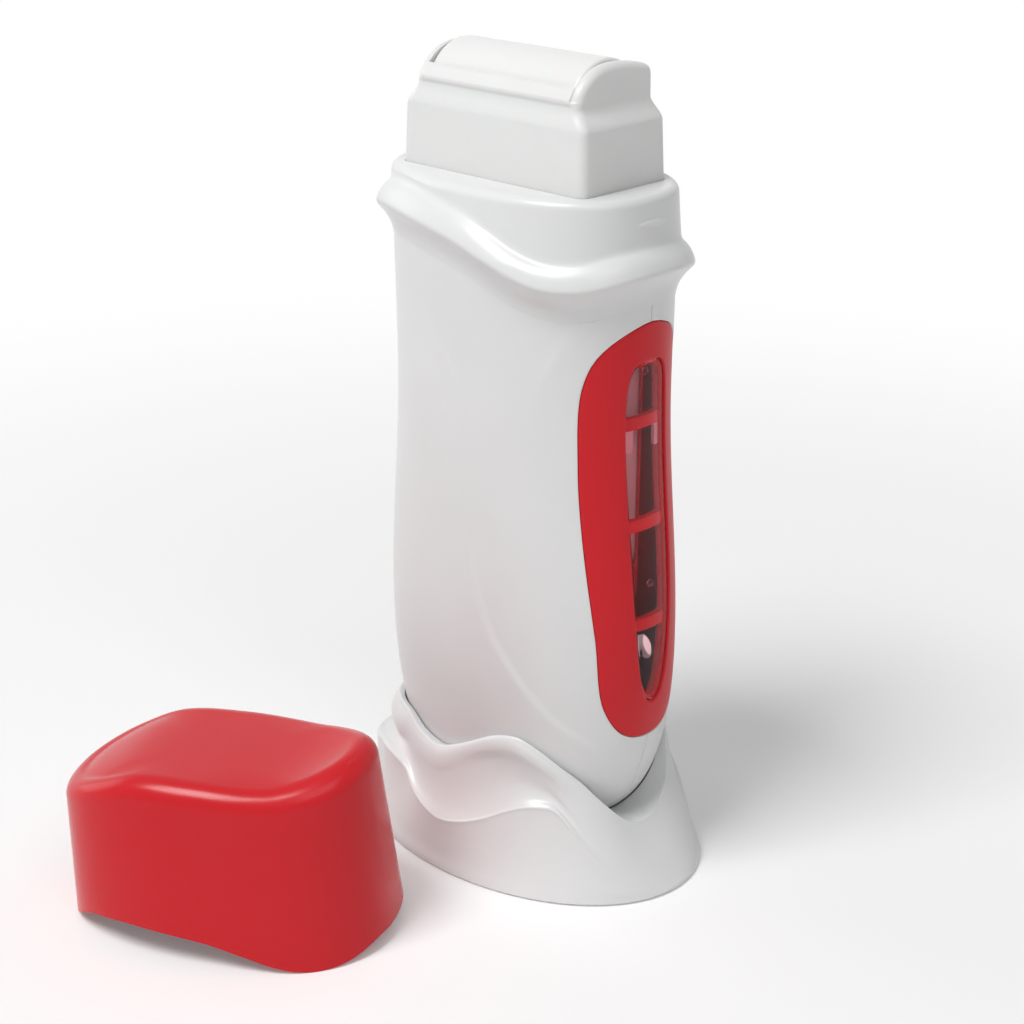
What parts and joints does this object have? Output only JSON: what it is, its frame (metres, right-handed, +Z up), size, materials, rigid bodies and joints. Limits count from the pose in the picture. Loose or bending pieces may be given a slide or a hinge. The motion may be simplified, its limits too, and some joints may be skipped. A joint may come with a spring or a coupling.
{
  "type": "wax warmer",
  "caption": "Roll-on wax warmer: heated handpiece with a windowed oval casing and a roller-head cartridge, standing in a flared docking stand, with its cap beside it.",
  "frame": {"origin": "middle of the stand's flat resting face", "axes": "+Z up; the broad front of the casing faces -Y; the narrow side with the window faces +X"},
  "size_m": [0.0992, 0.1321, 0.1802],
  "materials": {
    "stand_white": "glossy white",
    "casing_white": "glossy white",
    "frame_red": "glossy deep red",
    "cap_red": "glossy deep red",
    "lens_clear": "clear",
    "cartridge_white": "satin white",
    "head_white": "satin white",
    "roller_white": "smooth, slightly milky",
    "wax_honey": "hard wax",
    "sleeve_metal": "drawn sheet",
    "dark_plastic": "heat-resistant, matte",
    "heater_ceramic": "ceramic, matte",
    "spring_steel": "sheet",
    "can_metal": "pressed",
    "wire_white": "soft insulation",
    "wire_brown": "soft insulation",
    "block_grey": "matte",
    "contact_brass": "drawn",
    "screw_steel": "turned",
    "pad_rubber": "soft",
    "plate_white": "fine grain",
    "gland_grey": "firm"
  },
  "bodies": {
    "stand": {"stand_shell": "stand_white", "base_plate": "plate_white", "base_pads": "pad_rubber", "base_screws": "screw_steel", "contact_block": "dark_plastic", "contact_pins": "contact_brass", "cord_gland": "gland_grey", "terminal_block": "block_grey", "stand_wires": "wire_brown"},
    "handpiece": {"front_shell": "casing_white", "rear_shell": "casing_white", "shell_screws": "screw_steel", "neck_collar": "casing_white", "window_frame": "frame_red", "window_lens": "lens_clear", "heater_sleeve": "sleeve_metal", "chamber_floor": "dark_plastic", "heater_front": "heater_ceramic", "heater_rear": "heater_ceramic", "heater_clamp_front": "spring_steel", "heater_clamp_rear": "spring_steel", "thermostat": "can_metal", "thermal_fuse": "can_metal", "heater_wires": "wire_white", "socket_block": "dark_plastic", "socket_contacts": "contact_brass"},
    "cartridge": {"cartridge_body": "cartridge_white", "cartridge_head": "head_white", "wax_fill": "wax_honey"},
    "roller": {"roller": "roller_white", "roller_pins": "screw_steel"},
    "cap": {"cap": "cap_red"}
  },
  "joints": [
    {"name": "handpiece_lift", "type": "slide", "parent": "stand", "child": "handpiece", "axis": [0, 0, 1], "range_m": [0, 0.12]},
    {"name": "cartridge_slide", "type": "slide", "parent": "handpiece", "child": "cartridge", "axis": [0, 0, 1], "range_m": [0, 0.105]},
    {"name": "roller_spin", "type": "hinge", "parent": "cartridge", "child": "roller", "pos_m": [0, 0, 0.1692], "axis": [1, 0, 0], "continuous": true},
    {"name": "cap_lift", "type": "slide", "parent": "stand", "child": "cap", "axis": [0, 0, 1], "range_m": [0, 0.1]}
  ]
}
